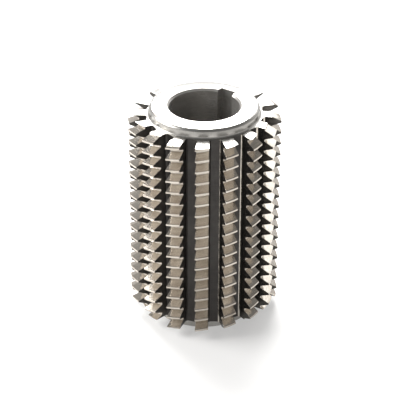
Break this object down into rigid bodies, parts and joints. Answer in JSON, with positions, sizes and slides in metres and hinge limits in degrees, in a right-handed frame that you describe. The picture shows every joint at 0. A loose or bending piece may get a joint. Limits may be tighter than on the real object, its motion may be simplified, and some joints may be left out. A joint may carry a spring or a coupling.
{
  "type": "gear hob",
  "caption": "Cylindrical gear-cutting hob with straight gashes, rows of relieved rack teeth on a right-hand thread, end hubs and a keyed through bore.",
  "frame": {"origin": "on the bore axis, halfway between the two hub faces", "axes": "+Z along the bore axis, with the right-hand thread rising anticlockwise seen from +Z; the keyway opens from the bore towards +Y"},
  "size_m": [0.0694, 0.0694, 0.104],
  "materials": {
    "tool_steel": "ground and polished high-speed steel"
  },
  "bodies": {
    "root": {"hob": "tool_steel"}
  },
  "joints": []
}
